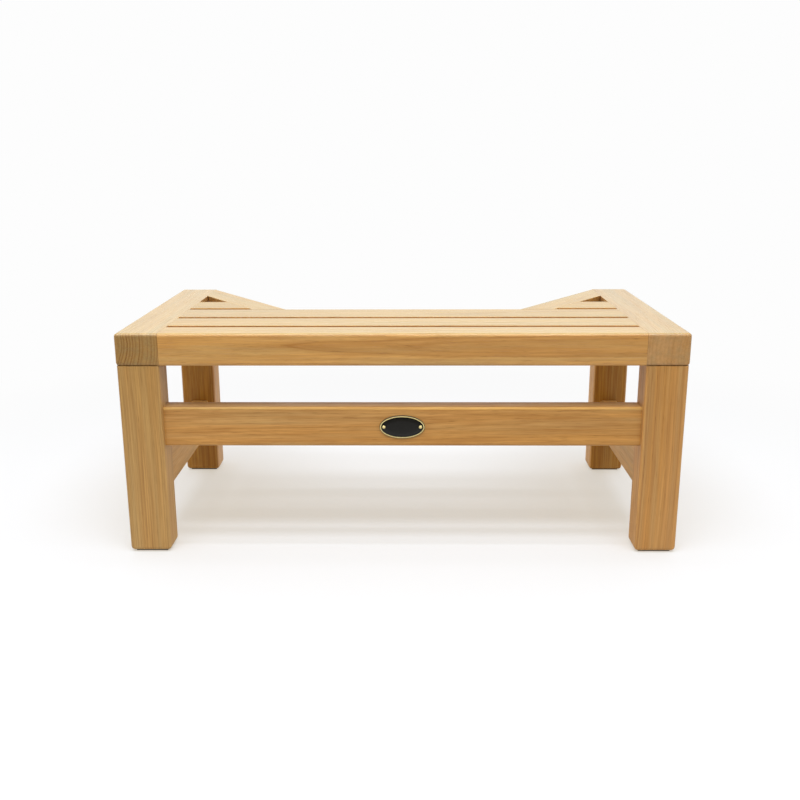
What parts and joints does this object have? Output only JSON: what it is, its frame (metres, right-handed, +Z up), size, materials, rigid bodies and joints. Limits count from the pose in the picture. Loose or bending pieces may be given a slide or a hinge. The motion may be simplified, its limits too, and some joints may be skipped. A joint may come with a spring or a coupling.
{
  "type": "toilet stool",
  "caption": "Low slatted wooden stool with four legs, stretchers and a rear recess that goes round the foot of a toilet bowl.",
  "frame": {"origin": "on the floor under the middle of the stool", "axes": "+X to the right along the front rail, +Y from the front to the recess at the rear, +Z up"},
  "size_m": [0.52, 0.275, 0.212],
  "materials": {
    "teak_top": "sanded teak, pale, flat cut",
    "teak_frame": "sanded teak, warm, straight grain",
    "beech": "turned beech",
    "brass": "polished brass",
    "black_enamel": "gloss black enamel",
    "rubber": "matt black rubber"
  },
  "bodies": {
    "root": {"side_rail_left": "teak_top", "side_rail_right": "teak_top", "front_rail": "teak_top", "middle_rail": "teak_top", "front_slat": "teak_top", "corner_slat_left": "teak_top", "corner_slat_right": "teak_top", "diagonal_rail_left": "teak_top", "diagonal_rail_right": "teak_top", "leg_front_left": "teak_frame", "leg_front_right": "teak_frame", "leg_rear_left": "teak_frame", "leg_rear_right": "teak_frame", "front_stretcher": "teak_frame", "side_stretcher_left": "teak_frame", "side_stretcher_right": "teak_frame", "foot_pad_front_left": "rubber", "foot_pad_front_right": "rubber", "foot_pad_rear_left": "rubber", "foot_pad_rear_right": "rubber", "diagonal_dowels": "beech", "corner_slat_dowels": "beech", "nameplate": "brass", "nameplate_enamel": "black_enamel", "nameplate_pins": "brass"}
  },
  "joints": []
}
